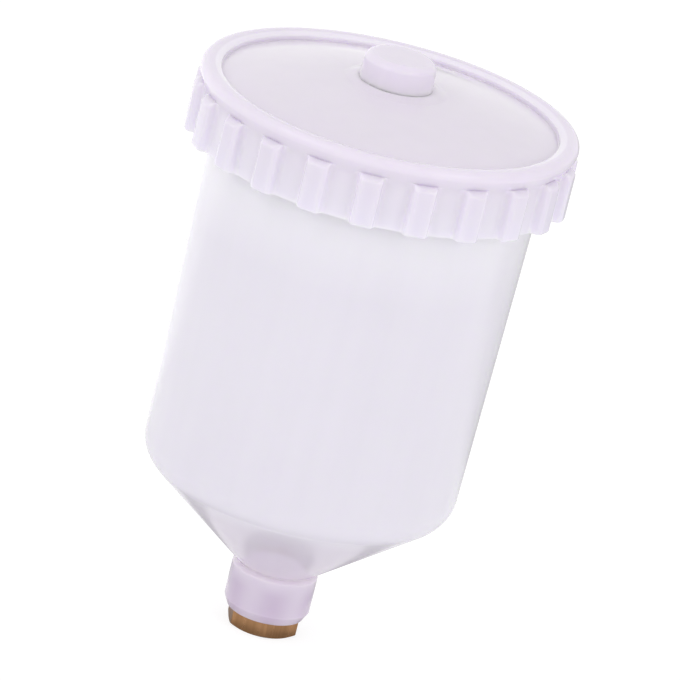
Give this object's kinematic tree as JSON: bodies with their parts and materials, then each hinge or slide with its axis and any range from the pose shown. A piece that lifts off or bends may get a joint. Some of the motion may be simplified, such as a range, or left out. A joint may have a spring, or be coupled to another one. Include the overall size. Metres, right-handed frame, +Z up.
{
  "type": "spray gun paint cup",
  "caption": "Gravity-feed paint cup with a conical floor and threaded outlet, a ribbed screw lid, a pull-open vent plug and a lift-out strainer.",
  "frame": {"origin": "centre of the brass insert's lower face, where the threaded outlet opens", "axes": "+Z up along the cup's axis, from the outlet to the lid; one grip rib of the lid faces -Y"},
  "size_m": [0.1032, 0.1036, 0.1652],
  "materials": {
    "milky_plastic": "milky translucent, glossy",
    "brass": "turned, slightly dull",
    "gasket": "soft foamed plastic",
    "seal_rubber": "smooth black rubber",
    "nylon": "natural white nylon",
    "mesh": "woven nylon mesh"
  },
  "bodies": {
    "cup": {"cup_body": "milky_plastic", "threaded_insert": "brass"},
    "gasket": {"lid_gasket": "gasket"},
    "lid": {"lid": "milky_plastic", "drip_baffle": "nylon"},
    "plug": {"vent_plug": "milky_plastic", "vent_seal": "seal_rubber"},
    "strainer": {"strainer_frame": "nylon", "strainer_mesh": "mesh"}
  },
  "joints": [
    {"name": "lid_lift", "type": "slide", "parent": "cup", "child": "gasket", "axis": [0, 0, 1], "range_m": [0, 0.0161]},
    {"name": "lid_turn", "type": "hinge", "parent": "gasket", "child": "lid", "pos_m": [0, 0, 0.148], "axis": [0, 0, 1], "range_deg": [0, 1440]},
    {"name": "vent_pull", "type": "slide", "parent": "lid", "child": "plug", "axis": [0, 0, 1], "range_m": [0, 0.0038]},
    {"name": "strainer_lift", "type": "slide", "parent": "cup", "child": "strainer", "axis": [0, 0, 1], "range_m": [0, 0.075]}
  ],
  "couplings": [
    {"joint": "lid_lift", "follows": "lid_turn", "m_per_rad": 0.00063662}
  ]
}
